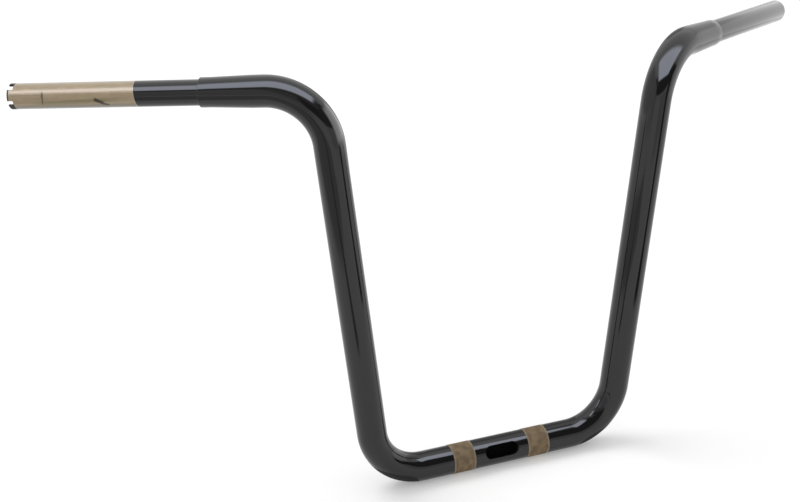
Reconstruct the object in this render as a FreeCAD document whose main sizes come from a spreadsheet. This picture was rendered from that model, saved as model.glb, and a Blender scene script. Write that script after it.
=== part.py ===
import FreeCAD, Part
import math
import os
import Sketcher
from FreeCAD import Vector

# Driving sizes of the handlebar, in millimetres and degrees.
SIZES = (
    ("centre_straight", 176, "straight run between the two lower bends"),
    ("lower_bend", 83.5, "turn of each lower bend"),
    ("upright_straight", 322, "straight run of each upright"),
    ("bend_twist", 32.5, "turn about the upright between its two bends, towards the rider"),
    ("upper_bend", 87.5, "turn of each upper bend"),
    ("tail_straight", 63, "straight run from each upper bend to the lip of the tube"),
    ("bend_radius", 58, "centre line radius of all four bends"),
    ("tube_wall", 3.4, "wall of the fat tube"),
    ("grip_outer", 25.4, "outer diameter of the two grip tubes"),
    ("grip_wall", 3.05, "wall of the grip tubes"),
    ("grip_exposed", 194, "length of each grip tube beyond the lip"),
    ("clutch_chamfer", 1.8, "chamfer on the open end of the clutch grip tube"),
    ("throttle_chamfer", 0.6, "chamfer on the open end of the throttle grip tube"),
    ("spigot_length", 55, "length of the spigot of each grip tube inside the fat tube"),
    ("spigot_clearance", 0.125, "radial gap between a spigot and the bore of the fat tube"),
    ("lip_seat", 0.225, "width of the ring on which a grip tube bears against the lip"),
    ("neck_drop", 1.225, "radius turned off the fat tube at its lip"),
    ("neck_straight", 12, "parallel length of the neck behind the lip"),
    ("neck_taper", 40, "length of the taper from the neck to the full tube"),
    ("lip_chamfer", 0.8, "chamfer on the outer edge of the lip"),
    ("land_width", 25.4, "width of each knurled clamp land"),
    ("land_spacing", 88.9, "distance between the middles of the two clamp lands"),
    ("land_height", 0.2, "height of the knurled lands above the tube"),
    ("slot_length", 40, "overall length of the wiring slot"),
    ("slot_width", 15, "width of the wiring slot"),
    ("slot_tilt", 22, "upward tilt of the wiring slot from straight ahead"),
    ("wire_hole_length", 19, "overall length of the wire hole under each grip tube"),
    ("wire_hole_width", 10, "width of the wire hole under each grip tube"),
    ("wire_hole_place", 36, "distance from the lip to the middle of the wire hole"),
    ("sensor_depth", 100, "depth of the counterbore in the throttle end"),
    ("sensor_step", 0.65, "radial step of the counterbore in the throttle end"),
    ("notch_depth", 6, "depth of the two slots milled across the throttle end"),
    ("narrow_notch_width", 5.1, "width of the narrow slot across the throttle end"),
    ("narrow_notch_turn", 75, "turn of the narrow slot about the grip tube, from its underside"),
    ("wide_notch_width", 7.3, "width of the wide slot across the throttle end"),
    ("wide_notch_turn", 155, "turn of the wide slot about the grip tube, from its underside"),
)

# Lengths and radii that follow from the driving sizes.
GRIP_RADIUS = "(Sizes.grip_outer / 2)"
GRIP_BORE_RADIUS = f"({GRIP_RADIUS} - Sizes.grip_wall)"
SENSOR_RADIUS = f"({GRIP_BORE_RADIUS} + Sizes.sensor_step)"
BORE_RADIUS = f"({GRIP_RADIUS} - Sizes.lip_seat)"
SPIGOT_RADIUS = f"({BORE_RADIUS} - Sizes.spigot_clearance)"
TUBE_RADIUS = f"({BORE_RADIUS} + Sizes.tube_wall)"
NECK_RADIUS = f"({TUBE_RADIUS} - Sizes.neck_drop)"
LAND_RADIUS = f"({TUBE_RADIUS} + Sizes.land_height)"

# Share of its depth and taper by which the neck's cut starts outside the tube.
NECK_OVERRUN = 0.25

# Axes of a sketch, in the order of their numbers, which count down; the origin is on the first.
AXES = ("x", "y")
X_AXIS, Y_AXIS = (~AXES.index(axis) for axis in AXES)
ORIGIN = X_AXIS
# Points of a sketch's lines and arcs, in the order of their numbers.
POINTS = ("edge", "start", "end", "centre")
START, END, CENTRE = (POINTS.index(point) for point in POINTS[1:])


def move(x, y, z):
    """Frame moved by a distance, as an expression."""
    return f"placement(vector({x}; {y}; {z}); rotation(vector(0; 0; 1); 0))"


def turn(axis, angle):
    """Frame turned about one axis, as an expression."""
    return f"placement(vector(0; 0; 0); rotation(vector({axis}); {angle}))"


def run(length):
    """Frame moved along the tube."""
    return move(length, 0, 0)


def bend(angle):
    """Frame carried round a bend of the tube, from x towards y."""
    radius = "Sizes.bend_radius"
    carried = move(f"{radius} * sin({angle})", f"{radius} * (1 - cos({angle}))", 0)
    return f"{carried} * {turn('0; 0; 1', angle)}"


def half_upright(twist):
    """Frame at the middle of an upright, turned into the plane of its upper bend."""
    steps = (
        run("Sizes.centre_straight / 2"),
        bend("Sizes.lower_bend"),
        run("Sizes.upright_straight / 2"),
        turn("1; 0; 0", f"180 + {twist}"),
    )
    return " * ".join(steps)


def lip(twist):
    """Frame at the lip of the fat tube, x along the grip and y to its underside."""
    steps = (
        half_upright(twist),
        run("Sizes.upright_straight / 2"),
        bend("Sizes.upper_bend"),
        run("Sizes.tail_straight"),
    )
    return " * ".join(steps)


AT_ORIGIN = move(0, 0, 0)
ACROSS = turn("0; 1; 0", 90)
UPRIGHT_PLANE = turn("1; 0; 0", 90)
OTHER_SIDE = turn("0; 0; 1", 180)


def sketch_on(body, name, frame):
    """Sketch on the body's XZ plane, carried to a frame of that plane."""
    sketch = body.newObject("Sketcher::SketchObject", name)
    plane = next(f for f in body.Origin.OriginFeatures if f.Role == "XZ_Plane")
    sketch.AttachmentSupport = [(plane, "")]
    sketch.MapMode = "FlatFace"
    sketch.setExpression("AttachmentOffset", frame)
    return sketch


def dimension(sketch, constraint, size):
    """Add a constraint to a sketch and bind it to an expression."""
    index = sketch.addConstraint(constraint)
    sketch.setExpression(f"Constraints[{index}]", size)


def place(sketch, geometry, end, x, y):
    """Dimension one point of a sketch from its origin; a zero puts it on the axis."""
    for kind, size, axis in (("DistanceX", x, Y_AXIS), ("DistanceY", y, X_AXIS)):
        if size == "0":
            sketch.addConstraint(Sketcher.Constraint("PointOnObject", geometry, end, axis))
        else:
            value = sketch.evalExpression(size)
            distance = Sketcher.Constraint(kind, ORIGIN, START, geometry, end, value)
            dimension(sketch, distance, size)


def outline(sketch, corners):
    """Closed outline of straight lines, each corner dimensioned from the sketch origin."""
    points = [Vector(sketch.evalExpression(x), sketch.evalExpression(y), 0) for x, y in corners]
    following = points[1:] + points[:1]
    lines = [sketch.addGeometry(Part.LineSegment(a, b), False) for a, b in zip(points, following)]
    for line, after in zip(lines, lines[1:] + lines[:1]):
        sketch.addConstraint(Sketcher.Constraint("Coincident", line, END, after, START))
    for line, (x, y) in zip(lines, corners):
        place(sketch, line, START, x, y)


def ring(sketch, outer, inner):
    """Two circles about the sketch origin."""
    for radius in (outer, inner):
        value = sketch.evalExpression(radius)
        circle = sketch.addGeometry(Part.Circle(Vector(), Vector(0, 0, 1), value), False)
        sketch.addConstraint(Sketcher.Constraint("Coincident", circle, CENTRE, ORIGIN, START))
        dimension(sketch, Sketcher.Constraint("Radius", circle, value), radius)


def obround(sketch, middle, length, width):
    """Slot along x with round ends, centred on the x axis at the given distance."""
    centre = sketch.evalExpression(middle)
    radius = sketch.evalExpression(width) / 2
    reach = sketch.evalExpression(length) / 2 - radius
    corners = [Vector(centre + x * reach, y * radius, 0) for x, y in ((1, -1), (1, 1), (-1, 1), (-1, -1))]
    tips = [Vector(centre + side * (reach + radius), 0, 0) for side in (1, -1)]
    right = sketch.addGeometry(Part.Arc(corners[0], tips[0], corners[1]), False)
    top = sketch.addGeometry(Part.LineSegment(corners[1], corners[2]), False)
    left = sketch.addGeometry(Part.Arc(corners[2], tips[1], corners[3]), False)
    bottom = sketch.addGeometry(Part.LineSegment(corners[3], corners[0]), False)
    for first, second in ((right, top), (top, left), (left, bottom), (bottom, right)):
        sketch.addConstraint(Sketcher.Constraint("Tangent", first, END, second, START))
    dimension(sketch, Sketcher.Constraint("Radius", right, radius), f"{width} / 2")
    place(sketch, right, CENTRE, f"{middle} + ({length} - {width}) / 2", "0")
    place(sketch, left, CENTRE, f"{middle} - ({length} - {width}) / 2", "0")


def bend_path(sketch, first, angle, last):
    """Straight run, tangent bend and straight run, from the origin along x."""
    sizes = [sketch.evalExpression(size) for size in (first, angle, last, "Sizes.bend_radius")]
    first_length, turned, last_length, radius = sizes
    corner = Vector(first_length, 0, 0)
    centre = Vector(first_length, radius, 0)
    spun = FreeCAD.Rotation(Vector(0, 0, 1), turned)
    bend_end = centre + spun.multVec(corner - centre)
    middle = centre + FreeCAD.Rotation(Vector(0, 0, 1), turned / 2).multVec(corner - centre)
    path_end = bend_end + spun.multVec(Vector(last_length, 0, 0))
    start_run = sketch.addGeometry(Part.LineSegment(Vector(), corner), False)
    arc = sketch.addGeometry(Part.Arc(corner, middle, bend_end), False)
    end_run = sketch.addGeometry(Part.LineSegment(bend_end, path_end), False)
    sketch.addConstraint(Sketcher.Constraint("Coincident", start_run, START, ORIGIN, START))
    sketch.addConstraint(Sketcher.Constraint("Horizontal", start_run))
    sketch.addConstraint(Sketcher.Constraint("Tangent", start_run, END, arc, START))
    sketch.addConstraint(Sketcher.Constraint("Tangent", arc, END, end_run, START))
    dimension(sketch, Sketcher.Constraint("Distance", start_run, first_length), first)
    dimension(sketch, Sketcher.Constraint("Radius", arc, radius), "Sizes.bend_radius")
    dimension(sketch, Sketcher.Constraint("Distance", end_run, last_length), last)
    dimension(sketch, Sketcher.Constraint("Angle", end_run, math.radians(turned)), f"{angle} * 1 deg")


def bent_pipe(body, name, frame, first, angle, last):
    """Hollow tube through one bend, starting at a frame of the upright plane."""
    path = sketch_on(body, f"{name}_path", frame)
    bend_path(path, first, angle, last)
    section = sketch_on(body, f"{name}_section", f"{frame} * {ACROSS}")
    ring(section, TUBE_RADIUS, BORE_RADIUS)
    pipe = body.newObject("PartDesign::AdditivePipe", name)
    pipe.Profile = section
    pipe.Spine = (path, ["Edge1", "Edge2", "Edge3"])
    return pipe


def turned_feature(body, kind, sketch, name):
    """Full turn of a sketch about its x axis, added to or cut from a body."""
    feature = body.newObject(f"PartDesign::{kind}", name)
    feature.Profile = sketch
    feature.ReferenceAxis = (sketch, ["H_Axis"])
    feature.Angle = 360
    return feature


def wall_opening(body, sketch, name, reach, along_normal):
    """Pocket from the axis of a tube through one wall, along the sketch normal or against it."""
    pocket = body.newObject("PartDesign::Pocket", name)
    pocket.Profile = sketch
    pocket.Type = "Length"
    pocket.Reversed = along_normal
    pocket.setExpression("Length", reach)
    return pocket


def fat_tube():
    """Fat bent tube: one half with its land, neck and lip, mirrored, and the wiring slot."""
    body = doc.addObject("PartDesign::Body", "handlebar_tube")
    bent_pipe(body, "lower_pipe", AT_ORIGIN,
              "Sizes.centre_straight / 2", "Sizes.lower_bend", "Sizes.upright_straight / 2")
    bent_pipe(body, "upper_pipe", half_upright("Sizes.bend_twist"),
              "Sizes.upright_straight / 2", "Sizes.upper_bend", "Sizes.tail_straight")

    land = sketch_on(body, "land_profile", AT_ORIGIN)
    land_start = "(Sizes.land_spacing - Sizes.land_width) / 2"
    land_end = "(Sizes.land_spacing + Sizes.land_width) / 2"
    land_root = f"{BORE_RADIUS} + Sizes.tube_wall / 2"
    outline(land, [(land_start, land_root), (land_end, land_root),
                   (land_end, LAND_RADIUS), (land_start, LAND_RADIUS)])
    turned_feature(body, "Revolution", land, "clamp_land")

    neck = sketch_on(body, "neck_profile", lip("Sizes.bend_twist"))
    beyond = "Sizes.neck_straight"
    above = f"{TUBE_RADIUS} + {NECK_OVERRUN} * Sizes.neck_drop"
    outline(neck, [(f"-Sizes.neck_straight - (1 + {NECK_OVERRUN}) * Sizes.neck_taper", above),
                   ("-Sizes.neck_straight", NECK_RADIUS),
                   (beyond, NECK_RADIUS), (beyond, above)])
    necked = turned_feature(body, "Groove", neck, "neck")
    doc.recompute()

    lip_centre = neck.Placement.Base
    neck_radius = neck.evalExpression(NECK_RADIUS)
    rims = [f"Edge{i}" for i, edge in enumerate(necked.Shape.Edges, start=1)
            if isinstance(edge.Curve, Part.Circle)
            and abs(edge.Curve.Radius - neck_radius) < Part.Precision.confusion()
            and edge.Curve.Center.distanceToPoint(lip_centre) < Part.Precision.confusion()]
    eased = body.newObject("PartDesign::Chamfer", "eased_lip")
    eased.Base = (necked, rims)
    eased.setExpression("Size", "Sizes.lip_chamfer")
    doc.recompute()

    both = body.newObject("PartDesign::Mirrored", "both_halves")
    both.TransformMode = "Whole shape"
    both.MirrorPlane = (next(f for f in body.Origin.OriginFeatures if f.Role == "YZ_Plane"), [""])
    body.Tip = both
    doc.recompute()

    opening = sketch_on(body, "slot_outline", turn("1; 0; 0", "-Sizes.slot_tilt"))
    obround(opening, "0", "Sizes.slot_length", "Sizes.slot_width")
    wall_opening(body, opening, "wiring_slot", f"2 * {LAND_RADIUS}", True)
    return body


def grip_tube(name, bore_corners, chamfer):
    """Straight tube along x: a spigot, a shoulder that seats on the lip at x = 0, and an open end."""
    body = doc.addObject("PartDesign::Body", name)
    profile = sketch_on(body, f"{name}_profile", AT_ORIGIN)
    inner_end, outer_end = "-Sizes.spigot_length", "Sizes.grip_exposed"
    outline(profile, [(inner_end, GRIP_BORE_RADIUS), *bore_corners,
                      (outer_end, f"{GRIP_RADIUS} - {chamfer}"),
                      (f"{outer_end} - {chamfer}", GRIP_RADIUS),
                      ("0", GRIP_RADIUS), ("0", SPIGOT_RADIUS), (inner_end, SPIGOT_RADIUS)])
    turned_feature(body, "Revolution", profile, f"{name}_wall")
    hole = sketch_on(body, f"{name}_hole_outline", AT_ORIGIN)
    obround(hole, "Sizes.wire_hole_place", "Sizes.wire_hole_length", "Sizes.wire_hole_width")
    wall_opening(body, hole, f"{name}_wire_hole", "Sizes.grip_outer", False)
    doc.recompute()
    return body


def clutch_tube():
    """Grip tube on the rider's left, with a plain open end."""
    body = grip_tube("clutch_grip_tube", [("Sizes.grip_exposed", GRIP_BORE_RADIUS)], "Sizes.clutch_chamfer")
    body.setExpression("Placement", f"{UPRIGHT_PLANE} * {lip('Sizes.bend_twist')}")
    return body


def end_notch(body, name):
    """Slot milled across the open end of a grip tube, through both walls."""
    notch = sketch_on(body, f"{name}_outline", turn("1; 0; 0", f"Sizes.{name}_turn"))
    floor = "Sizes.grip_exposed - Sizes.notch_depth"
    beyond = "Sizes.grip_exposed + Sizes.notch_depth"
    half_width = f"Sizes.{name}_width / 2"
    outline(notch, [(floor, f"-{half_width}"), (beyond, f"-{half_width}"),
                    (beyond, half_width), (floor, half_width)])
    slot = body.newObject("PartDesign::Pocket", name)
    slot.Profile = notch
    slot.Type = "ThroughAll"
    slot.Midplane = True
    doc.recompute()


def throttle_tube():
    """Grip tube on the rider's right, counterbored and notched for the throttle sensor."""
    sensor_floor = "Sizes.grip_exposed - Sizes.sensor_depth"
    bore_corners = [(sensor_floor, GRIP_BORE_RADIUS), (sensor_floor, SENSOR_RADIUS),
                    ("Sizes.grip_exposed", SENSOR_RADIUS)]
    body = grip_tube("throttle_grip_tube", bore_corners, "Sizes.throttle_chamfer")
    end_notch(body, "narrow_notch")
    end_notch(body, "wide_notch")
    body.setExpression("Placement", f"{OTHER_SIDE} * {UPRIGHT_PLANE} * {lip('-Sizes.bend_twist')}")
    return body


def check(parts):
    """Stop if any object failed or a sub-part has no sound solid."""
    for item in doc.Objects:
        if "Invalid" in item.State or "Error" in item.State:
            raise RuntimeError(f"{item.Name} failed: {item.State}")
    for part in parts:
        if part.Shape.isNull() or not part.Shape.isValid() or len(part.Shape.Solids) != 1:
            raise RuntimeError(f"{part.Label} is not one sound solid")


doc = FreeCAD.newDocument("handlebar")
sheet = doc.addObject("Spreadsheet::Sheet", "Sizes")
for row, (alias, value, meaning) in enumerate(SIZES, start=1):
    sheet.set(f"A{row}", meaning)
    sheet.set(f"B{row}", str(value))
    sheet.setAlias(f"B{row}", alias)
doc.recompute()

parts = [fat_tube(), clutch_tube(), throttle_tube()]
doc.recompute()
check(parts)
os.makedirs("parts", exist_ok=True)
for part in parts:
    part.Shape.exportStep(f"parts/{part.Label}.step")
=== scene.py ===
import math

import bmesh
import bpy
from mathutils import Matrix, Vector


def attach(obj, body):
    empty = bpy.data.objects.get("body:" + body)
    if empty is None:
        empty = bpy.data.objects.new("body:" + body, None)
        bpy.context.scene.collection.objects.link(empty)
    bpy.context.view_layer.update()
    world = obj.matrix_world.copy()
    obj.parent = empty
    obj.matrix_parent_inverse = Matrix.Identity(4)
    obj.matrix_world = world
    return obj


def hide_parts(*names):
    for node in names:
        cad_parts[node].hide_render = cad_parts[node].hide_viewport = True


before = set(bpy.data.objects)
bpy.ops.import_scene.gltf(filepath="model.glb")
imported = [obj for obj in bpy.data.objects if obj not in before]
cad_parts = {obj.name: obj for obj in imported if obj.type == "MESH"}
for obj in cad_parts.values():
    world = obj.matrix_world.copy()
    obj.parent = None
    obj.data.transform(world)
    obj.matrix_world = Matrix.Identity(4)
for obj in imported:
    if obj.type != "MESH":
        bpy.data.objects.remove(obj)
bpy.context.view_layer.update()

# Sizes of the bent tube, in metres and degrees.
MM = 0.001
CENTRE_STRAIGHT = 176 * MM
LOWER_BEND = 83.5
UPRIGHT_STRAIGHT = 322 * MM
BEND_TWIST = 32.5
UPPER_BEND = 87.5
TAIL_STRAIGHT = 63 * MM
BEND_RADIUS = 58 * MM
TUBE_RADIUS = 15.875 * MM
BORE_RADIUS = 12.475 * MM
NECK_RADIUS = 14.65 * MM
NECK_STRAIGHT = 12 * MM
NECK_TAPER = 40 * MM
LIP_ROUND = 0.8 * MM

# Sizes of the openings and the knurled lands.
SLOT_LENGTH = 40 * MM
SLOT_WIDTH = 15 * MM
SLOT_TILT = 22
LAND_WIDTH = 25.4 * MM
LAND_SPACING = 88.9 * MM
CREST_RADIUS = 16.075 * MM
ROOT_RADIUS = 15.9 * MM
LAND_SEAT_RADIUS = 15.5 * MM
WIRE_HOLE_LENGTH = 19 * MM
WIRE_HOLE_WIDTH = 10 * MM
WIRE_HOLE_PLACE = 36 * MM

# Sizes of the grip tubes.
GRIP_RADIUS = 12.7 * MM
GRIP_BORE_RADIUS = 9.65 * MM
GRIP_EXPOSED = 194 * MM
SPIGOT_RADIUS = 12.35 * MM
SPIGOT_LENGTH = 55 * MM
SENSOR_RADIUS = 10.3 * MM
SENSOR_DEPTH = 100 * MM
CLUTCH_ROUND = 2.4 * MM
THROTTLE_CHAMFER = 0.6 * MM
NOTCH_DEPTH = 6 * MM
NOTCH_CORNER = 0.8 * MM
NARROW_NOTCH = {"width": 5.1 * MM, "turn": 75}
WIDE_NOTCH = {"width": 7.3 * MM, "turn": 155}

# Fineness of the meshes.
ROUND_STEPS = 96
BEND_STEPS = 40
EDGE_STEPS = 4
OPENING_STEPS = 48
KNURL_AROUND = 160
KNURL_ALONG = 40
SHARP_ANGLE = math.radians(28)
WELD = 0.01 * MM
QUARTER_TURN = [math.pi / 2 * step / EDGE_STEPS for step in range(EDGE_STEPS + 1)]

# Frames along the right half of the tube: x runs along it, y to the inside of the bend.
UPRIGHT_PLANE = Matrix.Rotation(math.radians(90), 4, "X")
ACROSS = Matrix.Rotation(math.radians(90), 4, "Y")
OTHER_SIDE = Matrix.Rotation(math.radians(180), 4, "Z")
X_AXIS = Vector((1, 0, 0))
Z_AXIS = Vector((0, 0, 1))
ORIGIN = Vector((0, 0, 0))


def run(length):
    """Frame carried along a straight run."""
    return Matrix.Translation((length, 0, 0))


def turned(angle):
    """Frame turned about the tube."""
    return Matrix.Rotation(math.radians(angle), 4, "X")


def bent(angle):
    """Frame carried round a bend."""
    turn = math.radians(angle)
    shift = Vector((math.sin(turn), 1 - math.cos(turn), 0)) * BEND_RADIUS
    return Matrix.Translation(shift) @ Matrix.Rotation(turn, 4, "Z")


def lip_frame(twist):
    """Frame at the lip of the bent tube, x along the grip and y to its underside."""
    half = UPRIGHT_STRAIGHT / 2
    upright = run(CENTRE_STRAIGHT / 2) @ bent(LOWER_BEND) @ run(half) @ turned(180 + twist)
    return UPRIGHT_PLANE @ upright @ run(half) @ bent(UPPER_BEND) @ run(TAIL_STRAIGHT)


CLUTCH_LIP = lip_frame(BEND_TWIST)
THROTTLE_LIP = OTHER_SIDE @ lip_frame(-BEND_TWIST)


class Wall:
    """Wall of a bent tube, grown ring by ring along its path."""

    def __init__(self, start, radius):
        self.mesh = bmesh.new()
        self.frame = start
        self.radius = radius
        bmesh.ops.create_circle(self.mesh, segments=ROUND_STEPS, radius=radius, matrix=start @ ACROSS)
        self.edges = self.mesh.edges[:]

    def straight(self, length, radius=None):
        """Grow the wall along the frame, to a new radius where one is given."""
        grown = bmesh.ops.extrude_edge_only(self.mesh, edges=self.edges)["geom"]
        verts = [part for part in grown if isinstance(part, bmesh.types.BMVert)]
        edges = [part for part in grown if isinstance(part, bmesh.types.BMEdge)]
        self.edges = [edge for edge in edges if set(verts).issuperset(edge.verts)]
        bmesh.ops.translate(self.mesh, vec=self.frame.to_3x3() @ (X_AXIS * length), verts=verts)
        self.frame = self.frame @ run(length)
        if radius is not None:
            ratio = radius / self.radius
            bmesh.ops.scale(self.mesh, vec=(1, ratio, ratio), space=self.frame.inverted(), verts=verts)
            self.radius = radius

    def bend(self, angle):
        """Grow the wall round a bend."""
        centre = self.frame @ Vector((0, BEND_RADIUS, 0))
        axis = self.frame.to_3x3() @ Z_AXIS
        swept = bmesh.ops.spin(self.mesh, geom=self.edges, cent=centre, axis=axis, angle=math.radians(angle),
                               steps=BEND_STEPS, use_duplicate=False)
        self.edges = [part for part in swept["geom_last"] if isinstance(part, bmesh.types.BMEdge)]
        self.frame = self.frame @ bent(angle)

    def twist(self, angle):
        """Turn the frame about the tube, so that the next bend lies in another plane."""
        self.frame = self.frame @ turned(angle)

    def round_edge(self, radius):
        """Grow the wall round the outer edge of an open end."""
        start = self.radius
        for before, after in zip(QUARTER_TURN, QUARTER_TURN[1:]):
            rise = math.sin(after) - math.sin(before)
            self.straight(radius * rise, start - radius * (1 - math.cos(after)))


def close_mesh(mesh):
    """Weld the seams and point the faces outwards."""
    bmesh.ops.remove_doubles(mesh, verts=mesh.verts, dist=WELD)
    bmesh.ops.recalc_face_normals(mesh, faces=mesh.faces)


def piece(name, mesh, finish, openings=()):
    """Object made from a mesh, with openings cut through it and its edges kept crisp."""
    data = bpy.data.meshes.new(name)
    mesh.to_mesh(data)
    mesh.free()
    made = bpy.data.objects.new(name, data)
    bpy.context.scene.collection.objects.link(made)
    for opening in openings:
        cut(made, opening)
    made.data.name = name
    made.data.materials.clear()
    made.data.materials.append(finish)
    made.data.shade_smooth()
    made.data.set_sharp_from_angle(angle=SHARP_ANGLE)
    return made


def cut(made, opening):
    """Cut a closed shape out of an object, and clear the hair-thin faces that the cut leaves."""
    tool_data = bpy.data.meshes.new("opening")
    opening.to_mesh(tool_data)
    opening.free()
    tool = bpy.data.objects.new("opening", tool_data)
    bpy.context.scene.collection.objects.link(tool)
    boolean = made.modifiers.new("opening", "BOOLEAN")
    boolean.operation = "DIFFERENCE"
    boolean.solver = "EXACT"
    boolean.object = tool
    bpy.context.view_layer.update()
    evaluated = made.evaluated_get(bpy.context.evaluated_depsgraph_get())
    uncut = made.data
    carved = bpy.data.meshes.new_from_object(evaluated)
    made.modifiers.clear()
    made.data = carved
    mesh = bmesh.new()
    mesh.from_mesh(carved)
    bmesh.ops.dissolve_degenerate(mesh, edges=mesh.edges, dist=WELD)
    mesh.to_mesh(carved)
    mesh.free()
    bpy.data.meshes.remove(uncut)
    bpy.data.objects.remove(tool)
    bpy.data.meshes.remove(tool_data)


def obround(place, length, width, depth):
    """Slot-shaped plug: long along x, standing up along z from the frame's origin."""
    mesh = bmesh.new()
    bmesh.ops.create_circle(mesh, cap_ends=True, segments=OPENING_STEPS, radius=width / 2)
    reach = (length - width) / 2
    for side in (1, -1):
        end = [vert for vert in mesh.verts if vert.co.x * side > WELD]
        bmesh.ops.translate(mesh, vec=(side * reach, 0, 0), verts=end)
    grown = bmesh.ops.extrude_face_region(mesh, geom=mesh.faces[:])["geom"]
    top = [part for part in grown if isinstance(part, bmesh.types.BMVert)]
    bmesh.ops.translate(mesh, vec=(0, 0, depth), verts=top)
    bmesh.ops.recalc_face_normals(mesh, faces=mesh.faces)
    mesh.transform(place)
    return mesh


def notch_plug(width, turn):
    """Square bar across the open end of the throttle tube, with rounded floor corners."""
    mesh = bmesh.new()
    size = Matrix.Diagonal((2 * NOTCH_DEPTH, width, 4 * GRIP_RADIUS, 1))
    bmesh.ops.create_cube(mesh, size=1, matrix=size)
    floor = [edge for edge in mesh.edges if all(vert.co.x < 0 for vert in edge.verts)
             and abs(edge.verts[0].co.z - edge.verts[1].co.z) > GRIP_RADIUS]
    bmesh.ops.bevel(mesh, geom=floor, offset=NOTCH_CORNER, segments=EDGE_STEPS, profile=0.5, affect="EDGES",
                    material=-1)
    across = turned(turn - 90)
    mesh.transform(THROTTLE_LIP @ run(GRIP_EXPOSED) @ across)
    return mesh


def wire_hole(lip):
    """Plug for the wire outlet below a grip tube."""
    outlet = lip @ run(WIRE_HOLE_PLACE) @ turned(-90)
    return obround(outlet, WIRE_HOLE_LENGTH, WIRE_HOLE_WIDTH, 2 * GRIP_RADIUS)


def bent_tube(finish):
    """Fat bent tube: the right half's wall and bore in one skin, mirrored, with the wiring slot cut out."""
    half = UPRIGHT_STRAIGHT / 2
    wall = Wall(UPRIGHT_PLANE, TUBE_RADIUS)
    wall.straight(CENTRE_STRAIGHT / 2)
    wall.bend(LOWER_BEND)
    wall.straight(half)
    wall.twist(180 + BEND_TWIST)
    wall.straight(half)
    wall.bend(UPPER_BEND)
    wall.straight(TAIL_STRAIGHT - NECK_STRAIGHT - NECK_TAPER)
    wall.straight(NECK_TAPER, NECK_RADIUS)
    wall.straight(NECK_STRAIGHT - LIP_ROUND)
    wall.round_edge(LIP_ROUND)
    wall.straight(0, BORE_RADIUS)
    wall.straight(-TAIL_STRAIGHT)
    wall.bend(-UPPER_BEND)
    wall.straight(-half)
    wall.twist(-180 - BEND_TWIST)
    wall.straight(-half)
    wall.bend(-LOWER_BEND)
    wall.straight(-CENTRE_STRAIGHT / 2)
    mesh = wall.mesh
    bmesh.ops.mirror(mesh, geom=mesh.verts[:] + mesh.edges[:] + mesh.faces[:], axis="X", merge_dist=WELD)
    close_mesh(mesh)
    slot = obround(turned(90 - SLOT_TILT), SLOT_LENGTH, SLOT_WIDTH, 2 * TUBE_RADIUS)
    return piece("bent_tube", mesh, finish, [slot])


def turned_tube(lip, profile):
    """Straight tube made by turning an outline of distances and radii about the axis of a grip."""
    mesh = bmesh.new()
    verts = [mesh.verts.new((distance, radius, 0)) for distance, radius in profile]
    edges = [mesh.edges.new(ends) for ends in zip(verts, verts[1:] + verts[:1])]
    bmesh.ops.spin(mesh, geom=verts + edges, cent=(0, 0, 0), axis=(1, 0, 0), angle=2 * math.pi,
                   steps=ROUND_STEPS, use_merge=True, use_duplicate=False)
    close_mesh(mesh)
    mesh.transform(lip)
    return mesh


# Outline of the end of a grip tube that sits inside the bent tube, from its shoulder to its bore.
SPIGOT_END = [
    (0, GRIP_RADIUS),
    (0, SPIGOT_RADIUS),
    (-SPIGOT_LENGTH, SPIGOT_RADIUS),
    (-SPIGOT_LENGTH, GRIP_BORE_RADIUS),
]


def clutch_tube(finish):
    """Grip tube on the rider's left, with a rounded plain end."""
    rounded = []
    for angle in QUARTER_TURN:
        distance = GRIP_EXPOSED - CLUTCH_ROUND * (1 - math.cos(angle))
        rounded.append((distance, GRIP_RADIUS - CLUTCH_ROUND * (1 - math.sin(angle))))
    profile = SPIGOT_END + [(GRIP_EXPOSED, GRIP_BORE_RADIUS)] + rounded
    return piece("clutch_tube", turned_tube(CLUTCH_LIP, profile), finish, [wire_hole(CLUTCH_LIP)])


def throttle_tube(finish):
    """Grip tube on the rider's right, counterbored and notched for the throttle sensor."""
    sensor_floor = GRIP_EXPOSED - SENSOR_DEPTH
    profile = SPIGOT_END + [
        (sensor_floor, GRIP_BORE_RADIUS),
        (sensor_floor, SENSOR_RADIUS),
        (GRIP_EXPOSED, SENSOR_RADIUS),
        (GRIP_EXPOSED, GRIP_RADIUS - THROTTLE_CHAMFER),
        (GRIP_EXPOSED - THROTTLE_CHAMFER, GRIP_RADIUS),
    ]
    openings = [wire_hole(THROTTLE_LIP), notch_plug(**NARROW_NOTCH), notch_plug(**WIDE_NOTCH)]
    return piece("throttle_tube", turned_tube(THROTTLE_LIP, profile), finish, openings)


def knurled_band(name, middle, finish):
    """Band of fine diamond knurling round the bent tube, closed underneath."""
    mesh = bmesh.new()
    bmesh.ops.create_grid(mesh, x_segments=KNURL_ALONG, y_segments=KNURL_AROUND, size=0.5)
    for vert in mesh.verts:
        column = round((vert.co.x + 0.5) * KNURL_ALONG)
        row = round((vert.co.y + 0.5) * KNURL_AROUND)
        angle = 2 * math.pi * row / KNURL_AROUND
        if column in (0, KNURL_ALONG):
            radius = LAND_SEAT_RADIUS
        else:
            radius = ROOT_RADIUS if (column + row) % 2 else CREST_RADIUS
        along = (min(max(column, 1), KNURL_ALONG - 1) - 1) / (KNURL_ALONG - 2) - 0.5
        vert.co = (middle + along * LAND_WIDTH, radius * math.cos(angle), radius * math.sin(angle))
    bmesh.ops.remove_doubles(mesh, verts=mesh.verts, dist=WELD)
    bmesh.ops.bridge_loops(mesh, edges=[edge for edge in mesh.edges if edge.is_boundary])
    bmesh.ops.recalc_face_normals(mesh, faces=mesh.faces)
    return piece(name, mesh, finish)


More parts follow.
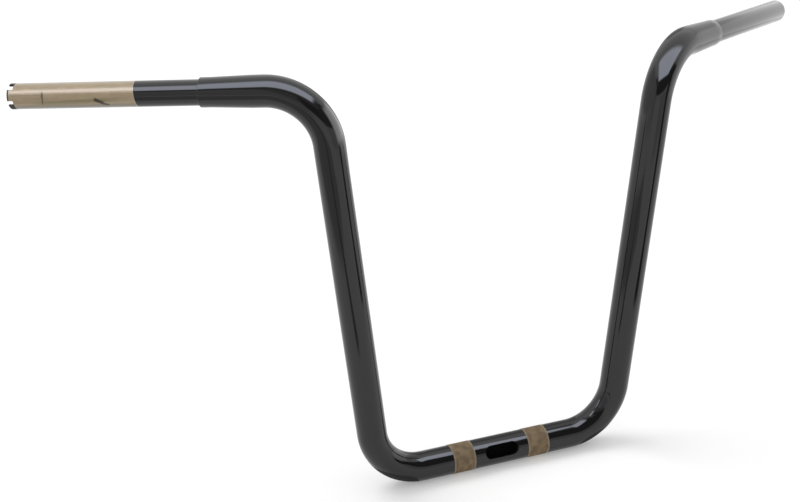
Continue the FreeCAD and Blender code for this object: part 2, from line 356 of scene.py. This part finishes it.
class Shade:
    """A shader value; Python's operators on it add Math nodes."""

    def __init__(self, finish, socket):
        self.finish = finish
        self.socket = socket

    def math(self, operation, *values):
        """Math node."""
        return self.finish.node("ShaderNodeMath", {"operation": operation}, dict(enumerate(values)))

    def __add__(self, other):
        return self.math("ADD", self, other)

    def __sub__(self, other):
        return self.math("SUBTRACT", self, other)

    def __rsub__(self, other):
        return self.math("SUBTRACT", other, self)

    def __mul__(self, other):
        return self.math("MULTIPLY", self, other)

    def __or__(self, other):
        return self.math("MAXIMUM", self, other)

    def __abs__(self):
        return self.math("ABSOLUTE", self)

    __radd__ = __add__
    __rmul__ = __mul__
    __ror__ = __or__


class Finish:
    """Node tree of a finish, of a stage surface or of the world."""

    def __init__(self, tree):
        self.tree = tree
        tree.nodes.clear()

    def node(self, kind, settings=None, inputs=None, output=0):
        """Add a node: its settings first, then the values or links of its sockets."""
        made = self.tree.nodes.new(kind)
        for name, value in (settings or {}).items():
            setattr(made, name, value)
        for key, value in (inputs or {}).items():
            if isinstance(value, Shade):
                self.tree.links.new(value.socket, made.inputs[key])
            else:
                made.inputs[key].default_value = value
        return Shade(self, made.outputs[output]) if made.outputs else None

    def vector(self, operation, inputs, output="Vector"):
        """Vector Math node."""
        return self.node("ShaderNodeVectorMath", {"operation": operation}, inputs, output)

    def place(self):
        """Position on the object."""
        return self.node("ShaderNodeTexCoord", output="Object")

    def noise(self, place, scale, detail=2):
        """Soft random value round a half."""
        return self.node("ShaderNodeTexNoise", {}, {"Vector": place, "Scale": scale, "Detail": detail})

    def wander(self, place, scale):
        """Soft random value round zero."""
        return self.noise(place, scale) - 0.5

    def distance_along(self, place, origin, axis):
        """Distance of a place from an origin, along an axis."""
        offset = self.vector("SUBTRACT", {0: place, 1: origin})
        return self.vector("DOT_PRODUCT", {0: offset, 1: axis}, "Value")

    def distance_from(self, place, origin, axis):
        """Distance of a place from a line."""
        offset = self.vector("SUBTRACT", {0: place, 1: origin})
        across = self.vector("CROSS_PRODUCT", {0: offset, 1: axis})
        return self.vector("LENGTH", {0: across}, "Value")

    def drawn_out(self, place, along, axis, share):
        """Place with a share of its run along an axis taken away, which makes streaks of a pattern."""
        taken = self.vector("SCALE", {0: axis, "Scale": share * along})
        return self.vector("SUBTRACT", {0: place, 1: taken})

    def ramp(self, value, start, end):
        """Smooth rise from 0 to 1 between two values."""
        limits = {"Value": value, "From Min": start, "From Max": end}
        return self.node("ShaderNodeMapRange", {"interpolation_type": "SMOOTHSTEP"}, limits)

    def within(self, value, reach, soft):
        """One up to a reach on both sides of zero, falling to zero over a soft edge inside it."""
        return 1 - self.ramp(abs(value), reach - soft, reach)

    def mix(self, share, first, second):
        """Colour between two colours."""
        return self.node("ShaderNodeMix", {"data_type": "RGBA"}, {0: share, 6: first, 7: second}, 2)

    def bump(self, height, distance):
        """Normal of a surface that a height raises by up to a distance."""
        return self.node("ShaderNodeBump", {}, {"Height": height, "Distance": distance})

    def glow(self, colour, strength):
        """Light given off by a surface."""
        return self.node("ShaderNodeEmission", {}, {"Color": colour, "Strength": strength})

    def surface(self, **sockets):
        """Principled surface as the material's output."""
        inputs = {}
        for name, value in sockets.items():
            inputs[name.replace("_", " ").title().replace("Ior", "IOR")] = value
        self.output(self.node("ShaderNodeBsdfPrincipled", {}, inputs))

    def output(self, shader):
        """Shader as the material's output."""
        self.node("ShaderNodeOutputMaterial", {}, {"Surface": shader})


def new_finish(name):
    """Empty material and its node tree."""
    material = bpy.data.materials.new(name)
    material.use_nodes = True
    return material, Finish(material.node_tree)


# Gloss black coat, with the slight waviness of a sprayed film, and the dull bore behind it.
GLOSS_BLACK = (0.003, 0.003, 0.0032, 1)
GLOSS_ROUGHNESS = 0.06
GLOSS_HAZE = 0.05
GLOSS_IOR = 1.5
HAZE_SCALE = 35
PEEL_SCALE = 420
PEEL_HEIGHT = 0.004 * MM
BORE_BLACK = (0.004, 0.0038, 0.0035, 1)
BORE_ROUGHNESS = 0.85
BORE_EDGE = 0.3 * MM


def gloss_black(name, origin, axis, skin):
    """Gloss black coat on a tube whose bore, inside a skin's radius from a line, is dull."""
    material, finish = new_finish(name)
    place = finish.place()
    radius = finish.distance_from(place, origin, axis)
    coat = finish.ramp(radius, skin - 2 * BORE_EDGE, skin - BORE_EDGE)
    gloss = GLOSS_ROUGHNESS + GLOSS_HAZE * finish.noise(place, HAZE_SCALE)
    finish.surface(
        base_color=finish.mix(coat, BORE_BLACK, GLOSS_BLACK),
        roughness=coat * gloss + (1 - coat) * BORE_ROUGHNESS,
        ior=GLOSS_IOR,
        normal=finish.bump(finish.noise(place, PEEL_SCALE), PEEL_HEIGHT),
    )
    return material


# Edge of the gloss black on the throttle tube: distance from the lip, skew, fade and a pale rim.
PAINT_EDGE = 63.5 * MM
PAINT_SKEW = 0.1
PAINT_SKEW_TURN = 190
PAINT_FADE = 0.2 * MM
PAINT_RAGGED = 0.5 * MM
PALE_RIM = 0.9 * MM
PALE_RIM_SHARE = 0.3

# Bare drawn steel of the throttle tube: brown, with a thin film of oil, clouds and streaks; painted shade
# along its underside and on its notched end.
STEEL_BROWN = (0.236, 0.170, 0.088, 1)
STEEL_PALE = (0.320, 0.242, 0.138, 1)
STEEL_STREAK = (0.17, 0.125, 0.07, 1)
STEEL_OLIVE = (0.185, 0.145, 0.06, 1)
STEEL_UNDERSIDE_SHADE = (0.075, 0.058, 0.035, 1)
STEEL_RIM = (0.46, 0.43, 0.39, 1)
STEEL_SHADE = (0.012, 0.011, 0.010, 1)
STEEL_METALLIC = 0.2
STEEL_ROUGHNESS = 0.24
STEEL_CLOUDING = 0.14
CLOUD_SCALE = 120
CLOUD_DETAIL = 4
STREAK_SCALE = 1100
STREAK_DETAIL = 3
STREAK_LENGTH = 0.985
STREAK_START = 0.45
STREAK_FULL = 0.75
STREAK_SHARE = 0.6
STREAK_HEIGHT = 0.004 * MM
OIL_FILM = 0.9
OIL_ROUGHNESS = 0.3

# Marks on the bare steel and the painted shade along its underside: how strong they are, and how their edges
# fade and wander.
GOUGE_BROWN = (0.030, 0.020, 0.010, 1)
OLIVE_SHARE = 0.95
UNDERSIDE_SHADE_SHARE = 0.9
CRACK_SHARE = 0.8
MARK_END_FADE = 1 / 4
MARK_SIDE_FADE = 1 / 3
MARK_OUT = 2 * MM
WANDER_SCALE = 160

# Places of the marks: distance from the lip, turn from the underside, size, slope and wander of the sides.
OLIVE_STREAK = {
    "distance": 124 * MM, "turn": 76, "length": 104 * MM, "width": 6.5 * MM, "slope": -2, "wander": 0,
}
# Painted shade along the underside of the bare steel, darker towards the bottom.
PAINTED_UNDERSIDE_SHADE = {
    "distance": 128 * MM, "turn": 35, "length": 300 * MM, "width": 16 * MM, "slope": 0, "wander": 1 * MM,
}
GOUGE = {
    "distance": 99.6 * MM, "turn": 77, "length": 13.5 * MM, "width": 5.8 * MM, "slope": 27, "wander": 1.5 * MM,
}
GOUGE_TAIL = {
    "distance": 94 * MM, "turn": 62, "length": 11 * MM, "width": 3.4 * MM, "slope": 16, "wander": 0.8 * MM,
}
CRACK = {
    "distance": 157.5 * MM, "turn": 96, "length": 16 * MM, "width": 2.4 * MM, "slope": 88, "wander": 6 * MM,
}

# Painted shade on the notched end: in the bore, on the cut faces and along the tip of the tongue and the
# teeth.
TONGUE_TURN = 113
TONGUE_REACH = 10.9 * MM
TONGUE_EDGE = 0.9 * MM
SHADED_TIP = 1.5 * MM
SHADED_TEETH = 5.8 * MM
SHADE_FADE = 0.7 * MM
SHADED_ROUGHNESS = 0.4


def grip_directions(turn):
    """Directions on the throttle tube at a turn from its underside: along it, out of it and round it."""
    axes = THROTTLE_LIP.to_3x3()
    angle = math.radians(turn)
    out = axes @ Vector((0, math.cos(angle), math.sin(angle)))
    round_tube = axes @ Vector((0, -math.sin(angle), math.cos(angle)))
    return axes @ X_AXIS, out, round_tube


def mark_on_grip(finish, place, distance, turn, length, width, slope, wander):
    """Share of a long mark on the throttle tube."""
    along, out, round_tube = grip_directions(turn)
    middle = THROTTLE_LIP @ (X_AXIS * distance)
    tilt = math.radians(slope)
    lengthways = finish.distance_along(place, middle, along * math.cos(tilt) + round_tube * math.sin(tilt))
    sideways = finish.distance_along(place, middle, round_tube * math.cos(tilt) - along * math.sin(tilt))
    sideways = sideways + wander * finish.wander(place, WANDER_SCALE)
    outwards = finish.distance_along(place, middle, out)
    lengthways = finish.within(lengthways, length / 2, length * MARK_END_FADE)
    sideways = finish.within(sideways, width / 2, width * MARK_SIDE_FADE)
    return lengthways * sideways * finish.ramp(outwards, 0, MARK_OUT)


def shade_of_notched_end(finish, place, along, radius):
    """Share of the painted shade: the bore, the cut faces, the tip of the tongue and the teeth beside it."""
    bore = 1 - finish.ramp(radius, GRIP_RADIUS - 3 * BORE_EDGE, GRIP_RADIUS - 2 * BORE_EDGE)
    tip = finish.ramp(along, GRIP_EXPOSED - SHADED_TIP - SHADE_FADE, GRIP_EXPOSED - SHADED_TIP)
    teeth = finish.ramp(along, GRIP_EXPOSED - SHADED_TEETH - SHADE_FADE, GRIP_EXPOSED - SHADED_TEETH)
    out = grip_directions(TONGUE_TURN)[1]
    tongue = finish.distance_along(place, THROTTLE_LIP.translation, out)
    beside = 1 - finish.ramp(tongue, TONGUE_REACH - TONGUE_EDGE, TONGUE_REACH)
    return bore | tip | (teeth * beside)


def throttle_finish():
    """Bare drawn steel on the outer part, gloss black on the control seat next to the lip."""
    material, finish = new_finish("throttle_finish")
    place = finish.place()
    axis = grip_directions(0)[0]
    along = finish.distance_along(place, THROTTLE_LIP.translation, axis)
    radius = finish.distance_from(place, THROTTLE_LIP.translation, axis)
    clouds = finish.noise(place, CLOUD_SCALE, CLOUD_DETAIL)
    drawn = finish.drawn_out(place, along, axis, STREAK_LENGTH)
    streaks = finish.noise(drawn, STREAK_SCALE, STREAK_DETAIL)

    steel = finish.mix(clouds, STEEL_BROWN, STEEL_PALE)
    streaked = finish.ramp(streaks, STREAK_START, STREAK_FULL)
    steel = finish.mix(STREAK_SHARE * streaked, steel, STEEL_STREAK)
    steel = finish.mix(OLIVE_SHARE * mark_on_grip(finish, place, **OLIVE_STREAK), steel, STEEL_OLIVE)
    # Painted shade along the underside of the bare steel.
    steel = finish.mix(UNDERSIDE_SHADE_SHARE * mark_on_grip(finish, place, **PAINTED_UNDERSIDE_SHADE), steel, STEEL_UNDERSIDE_SHADE)
    gouges = mark_on_grip(finish, place, **GOUGE) | mark_on_grip(finish, place, **GOUGE_TAIL)
    gouges = gouges | (CRACK_SHARE * mark_on_grip(finish, place, **CRACK))
    steel = finish.mix(gouges, steel, GOUGE_BROWN)
    skew_way = grip_directions(PAINT_SKEW_TURN)[1]
    skew = PAINT_SKEW * finish.distance_along(place, THROTTLE_LIP.translation, skew_way)
    edge = along - skew + PAINT_RAGGED * finish.wander(place, WANDER_SCALE)
    rim = finish.within(edge - PAINT_EDGE, PALE_RIM, PALE_RIM / 2)
    steel = finish.mix(PALE_RIM_SHARE * rim, steel, STEEL_RIM)
    # Painted shade in the bore, on the cut faces and along the notched tip.
    end_shade = shade_of_notched_end(finish, place, along, radius)
    steel = finish.mix(end_shade, steel, STEEL_SHADE)

    bare = finish.ramp(edge, PAINT_EDGE - PAINT_FADE, PAINT_EDGE + PAINT_FADE)
    clean = bare * (1 - end_shade) * (1 - gouges)
    rough = STEEL_ROUGHNESS + STEEL_CLOUDING * clouds
    finish.surface(
        base_color=finish.mix(bare, GLOSS_BLACK, steel),
        metallic=STEEL_METALLIC * clean,
        roughness=GLOSS_ROUGHNESS + bare * (rough - GLOSS_ROUGHNESS) + SHADED_ROUGHNESS * bare * end_shade,
        ior=GLOSS_IOR,
        coat_weight=OIL_FILM * clean,
        coat_roughness=OIL_ROUGHNESS,
        normal=finish.bump(bare * (streaks - gouges), STREAK_HEIGHT),
    )
    return material


# Bare knurled steel of the clamp lands, paler along the rims.
KNURL_DARK = (0.118, 0.079, 0.040, 1)
KNURL_LIGHT = (0.205, 0.146, 0.078, 1)
KNURL_RIM = (0.40, 0.35, 0.28, 1)
KNURL_SCALE = 160
KNURL_DETAIL = 4
KNURL_START = 0.3
KNURL_FULL = 0.7
RIM_WIDTH = 2.2 * MM
RIM_FADE = 1 * MM
RIM_SHARE = 0.25
KNURL_METALLIC = 0.15
KNURL_ROUGHNESS = 0.7
KNURL_CLOUDING = 0.2


def knurl_finish(name, middle):
    """Bare brown steel of a knurled band."""
    material, finish = new_finish(name)
    place = finish.place()
    along = finish.distance_along(place, X_AXIS * middle, X_AXIS)
    clouds = finish.noise(place, KNURL_SCALE, KNURL_DETAIL)
    rim = 1 - finish.within(along, LAND_WIDTH / 2 - RIM_WIDTH + RIM_FADE, RIM_FADE)
    brown = finish.mix(finish.ramp(clouds, KNURL_START, KNURL_FULL), KNURL_DARK, KNURL_LIGHT)
    finish.surface(
        base_color=finish.mix(RIM_SHARE * rim, brown, KNURL_RIM),
        metallic=KNURL_METALLIC,
        roughness=KNURL_ROUGHNESS + KNURL_CLOUDING * clouds,
        ior=GLOSS_IOR,
    )
    return material


# Stage: a white floor that keeps the shadow, a soft key lamp, and panels that only gloss shows.
FLOOR_SIZE = 14
FLOOR_LEVEL = -16.2 * MM
FLOOR_GLOW = 0.24
FLOOR_COLOUR = (0.8, 0.8, 0.8, 1)
WORLD_LIGHT = 0.75
KEY_FROM = (-0.35, 0.35, 0.87)
KEY_STRENGTH = 1.05
KEY_ANGLE = 35
WHITE = (1, 1, 1, 1)
SOFTBOX_TINT = (0.92, 0.97, 1.11, 1)
SOFTBOX_HEIGHT = 0.54
SOFTBOX_ANGLE = -23
SOFTBOX_TURN = Matrix.Rotation(math.radians(SOFTBOX_ANGLE), 4, "Z")
STANDING = Matrix.Rotation(math.radians(90), 4, "Z") @ UPRIGHT_PLANE


def white_to_eye(finish):
    """One for rays from the camera and from gloss or glass, which see the plain white studio."""
    paths = [finish.node("ShaderNodeLightPath", output=name)
             for name in ("Is Camera Ray", "Is Glossy Ray", "Is Transmission Ray")]
    return paths[0] | paths[1] | paths[2]


def world_light():
    """Even white studio."""
    world = bpy.data.worlds.new("studio")
    world.use_nodes = True
    bpy.context.scene.world = world
    finish = Finish(world.node_tree)
    seen = white_to_eye(finish)
    level = seen + (1 - seen) * WORLD_LIGHT
    background = finish.node("ShaderNodeBackground", {}, {"Color": WHITE, "Strength": level})
    finish.node("ShaderNodeOutputWorld", {}, {"Surface": background})


def key_lamp():
    """Wide soft lamp from above, behind and to the left; gloss shows the softboxes in its place."""
    lamp = bpy.data.lights.new("key", "SUN")
    lamp.energy = KEY_STRENGTH
    lamp.angle = math.radians(KEY_ANGLE)
    made = bpy.data.objects.new("key", lamp)
    bpy.context.scene.collection.objects.link(made)
    made.matrix_world = Vector(KEY_FROM).to_track_quat("Z", "Y").to_matrix().to_4x4()
    made.visible_glossy = False


def sheet(name, place, width, height, material):
    """Flat sheet of the stage, facing along z of its place."""
    mesh = bmesh.new()
    size = Matrix.Diagonal((width, height, 1, 1))
    bmesh.ops.create_grid(mesh, x_segments=1, y_segments=1, size=0.5, matrix=place @ size)
    made = piece(name, mesh, material)
    return made


def floor():
    """Pale floor: white to the eye, with the object's shadow."""
    material, finish = new_finish("floor_white")
    shade = finish.node("ShaderNodeBsdfDiffuse", {}, {"Color": FLOOR_COLOUR})
    finish.output(finish.node("ShaderNodeAddShader", {}, {0: shade, 1: finish.glow(WHITE, FLOOR_GLOW)}))
    sheet("floor", Matrix.Translation((0, 0, FLOOR_LEVEL)), FLOOR_SIZE, FLOOR_SIZE, material)


def panel(name, place, width, height, strength, soft, colour=WHITE):
    """Studio panel with soft edges, which only gloss shows."""
    material, finish = new_finish(name)
    spot = finish.place()
    axes = place.to_3x3()
    across = finish.distance_along(spot, place.translation, axes.col[0])
    upwards = finish.distance_along(spot, place.translation, axes.col[1])
    share = finish.within(across, width / 2, soft) * finish.within(upwards, height / 2, soft)
    clear = finish.node("ShaderNodeBsdfTransparent")
    light = finish.glow(colour, strength)
    finish.output(finish.node("ShaderNodeMixShader", {}, {0: share, 1: clear, 2: light}))
    made = sheet(name, place, width, height, material)
    made.visible_camera = False
    made.visible_shadow = False
    made.visible_transmission = False
    made.visible_diffuse = False


def overhead(name, height, left, right, front, back, strength, soft, colour=WHITE):
    """Panel overhead, given by its sides and turned towards the camera."""
    centre = Matrix.Translation(((left + right) / 2, (front + back) / 2, height))
    panel(name, SOFTBOX_TURN @ centre, right - left, back - front, strength, soft, colour)


def screen(name, side, front, back, low, strength, soft):
    """Upright panel that hangs between the softboxes, given by its edges and turned with them."""
    centre = Matrix.Translation((side, (front + back) / 2, (low + SOFTBOX_HEIGHT) / 2))
    panel(name, SOFTBOX_TURN @ centre @ STANDING, back - front, SOFTBOX_HEIGHT - low, strength, soft)


def upright(name, centre, towards, width, height, strength, soft):
    """Panel standing beside the object and facing a point."""
    centre = Vector(centre)
    turn = (Vector(towards) - centre).to_track_quat("Z", "Y").to_matrix().to_4x4()
    panel(name, Matrix.Translation(centre) @ turn, width, height, strength, soft)


def strip(name, start, end, width, lift, strength, soft):
    """Strip that lies on the floor between two points."""
    start, end = Vector(start), Vector(end)
    way = end - start
    turn = Matrix.Rotation(math.atan2(way.y, way.x), 4, "Z")
    place = Matrix.Translation((*((start + end) / 2), FLOOR_LEVEL + lift)) @ turn
    panel(name, place, way.length, width, strength, soft)


def studio():
    """Floor, lights and the panels that the tubes reflect."""
    world_light()
    key_lamp()
    floor()
    overhead("softbox_left", height=SOFTBOX_HEIGHT, left=-1.3, right=-0.055, front=-0.205, back=-0.06,
             strength=5.2, soft=0.035, colour=SOFTBOX_TINT)
    overhead("softbox_right", height=SOFTBOX_HEIGHT, left=0.05, right=0.395, front=-0.20, back=0.09,
             strength=5.0, soft=0.04, colour=SOFTBOX_TINT)
    overhead("softbox_glow", height=0.55, left=-1.3, right=0.6, front=-0.11, back=0.3,
             strength=1.4, soft=0.08)
    screen("screen_right", side=0, front=-0.337, back=0.163, low=0.34, strength=0.85, soft=0.01)
    screen("screen_left", side=-0.004, front=-0.387, back=-0.067, low=0.41, strength=0.2, soft=0.01)
    screen("reflector", side=-0.008, front=-0.162, back=0.173, low=0.33, strength=3.2, soft=0.05)
    overhead("dark_gap", height=0.56, left=-2.2, right=0.05, front=-0.34, back=-0.12,
             strength=0.35, soft=0.05)
    overhead("dark_flag", height=0.57, left=-0.2, right=2.2, front=-2.2, back=-0.1,
             strength=0.15, soft=0.06)
    overhead("dim_flag", height=0.58, left=-0.5, right=0.3, front=-2.2, back=-0.25,
             strength=0.5, soft=0.15)
    upright("dark_stand", centre=(0.70, -0.61, 0.6), towards=(0, 0, 0.6), width=0.28, height=1.5,
            strength=0.12, soft=0.05)
    upright("front_flag", centre=(0.50, -1.2, 0.18), towards=(0, 0, 0.1), width=1.1, height=0.5,
            strength=0.8, soft=0.1)
    upright("left_flag", centre=(-1.15, -0.75, 0.5), towards=(-0.3, 0.1, 0.4), width=1.3, height=0.75,
            strength=0.75, soft=0.1)
    upright("back_flag", centre=(0.575, 1.0, 0.65), towards=(0, 0, 0.65), width=0.55, height=1.4,
            strength=0.5, soft=0.08)
    upright("bright_side", centre=(1.5, 0.2, 0.35), towards=(0.3, 0.1, 0.4), width=2.4, height=1.2,
            strength=1.55, soft=0.2)
    strip("floor_grey", start=(-0.5, -0.3), end=(-1.5, -0.95), width=1.5, lift=1 * MM,
          strength=0.6, soft=0.12)
    strip("floor_dark", start=(0.36, -0.31), end=(0.80, -0.72), width=0.24, lift=2 * MM,
          strength=0.1, soft=0.05)
    strip("stand_dark", start=(-0.25, -0.28), end=(-1.3, -1.3), width=0.16, lift=2 * MM,
          strength=0.3, soft=0.05)


# Camera of the photograph, with the image taken as 800 by 502 pixels.
IMAGE_WIDTH = 800
FOCAL_PIXELS = 1454.5
FILM_WIDTH = 36
CAMERA_AZIMUTH = -22.355
CAMERA_ELEVATION = 21.168
CAMERA_ROLL = -0.90
CAMERA_DISTANCE = 1463.87 * MM
CAMERA_TARGET = Vector((-110.64 * MM, 0, 250.76 * MM))


def camera():
    """Camera at the photograph's viewing angle."""
    tilt = Matrix.Rotation(math.radians(90 - CAMERA_ELEVATION), 4, "X")
    turn = Matrix.Rotation(math.radians(CAMERA_AZIMUTH), 4, "Z") @ tilt
    roll = Matrix.Rotation(math.radians(CAMERA_ROLL), 4, "Z")
    lens = bpy.data.cameras.new("camera")
    lens.sensor_fit = "HORIZONTAL"
    lens.sensor_width = FILM_WIDTH
    lens.lens = FILM_WIDTH * FOCAL_PIXELS / IMAGE_WIDTH
    made = bpy.data.objects.new("camera", lens)
    bpy.context.scene.collection.objects.link(made)
    away = Matrix.Translation((0, 0, CAMERA_DISTANCE))
    made.matrix_world = Matrix.Translation(CAMERA_TARGET) @ turn @ away @ roll
    bpy.context.scene.camera = made


def dress(made, slot, *nodes):
    """Fix a piece to the handlebar and hide the solids that it stands for; the slot is not used."""
    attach(made, "root")
    if nodes:
        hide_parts(*nodes)


tube_black = gloss_black("tube_black", ORIGIN, X_AXIS, TUBE_RADIUS)
clutch_axis = CLUTCH_LIP.to_3x3() @ X_AXIS
clutch_black = gloss_black("clutch_black", CLUTCH_LIP.translation, clutch_axis, GRIP_RADIUS - CLUTCH_ROUND)
dress(bent_tube(tube_black), "gloss_black", "handlebar_tube")
dress(clutch_tube(clutch_black), "gloss_black", "clutch_grip_tube")
dress(throttle_tube(throttle_finish()), "bare_steel", "throttle_grip_tube")
for side, name in ((1, "knurled_band_left"), (-1, "knurled_band_right")):
    middle = side * LAND_SPACING / 2
    dress(knurled_band(name, middle, knurl_finish(name, middle)), "bare_steel")
studio()
camera()
bpy.context.scene.view_settings.view_transform = "Standard"
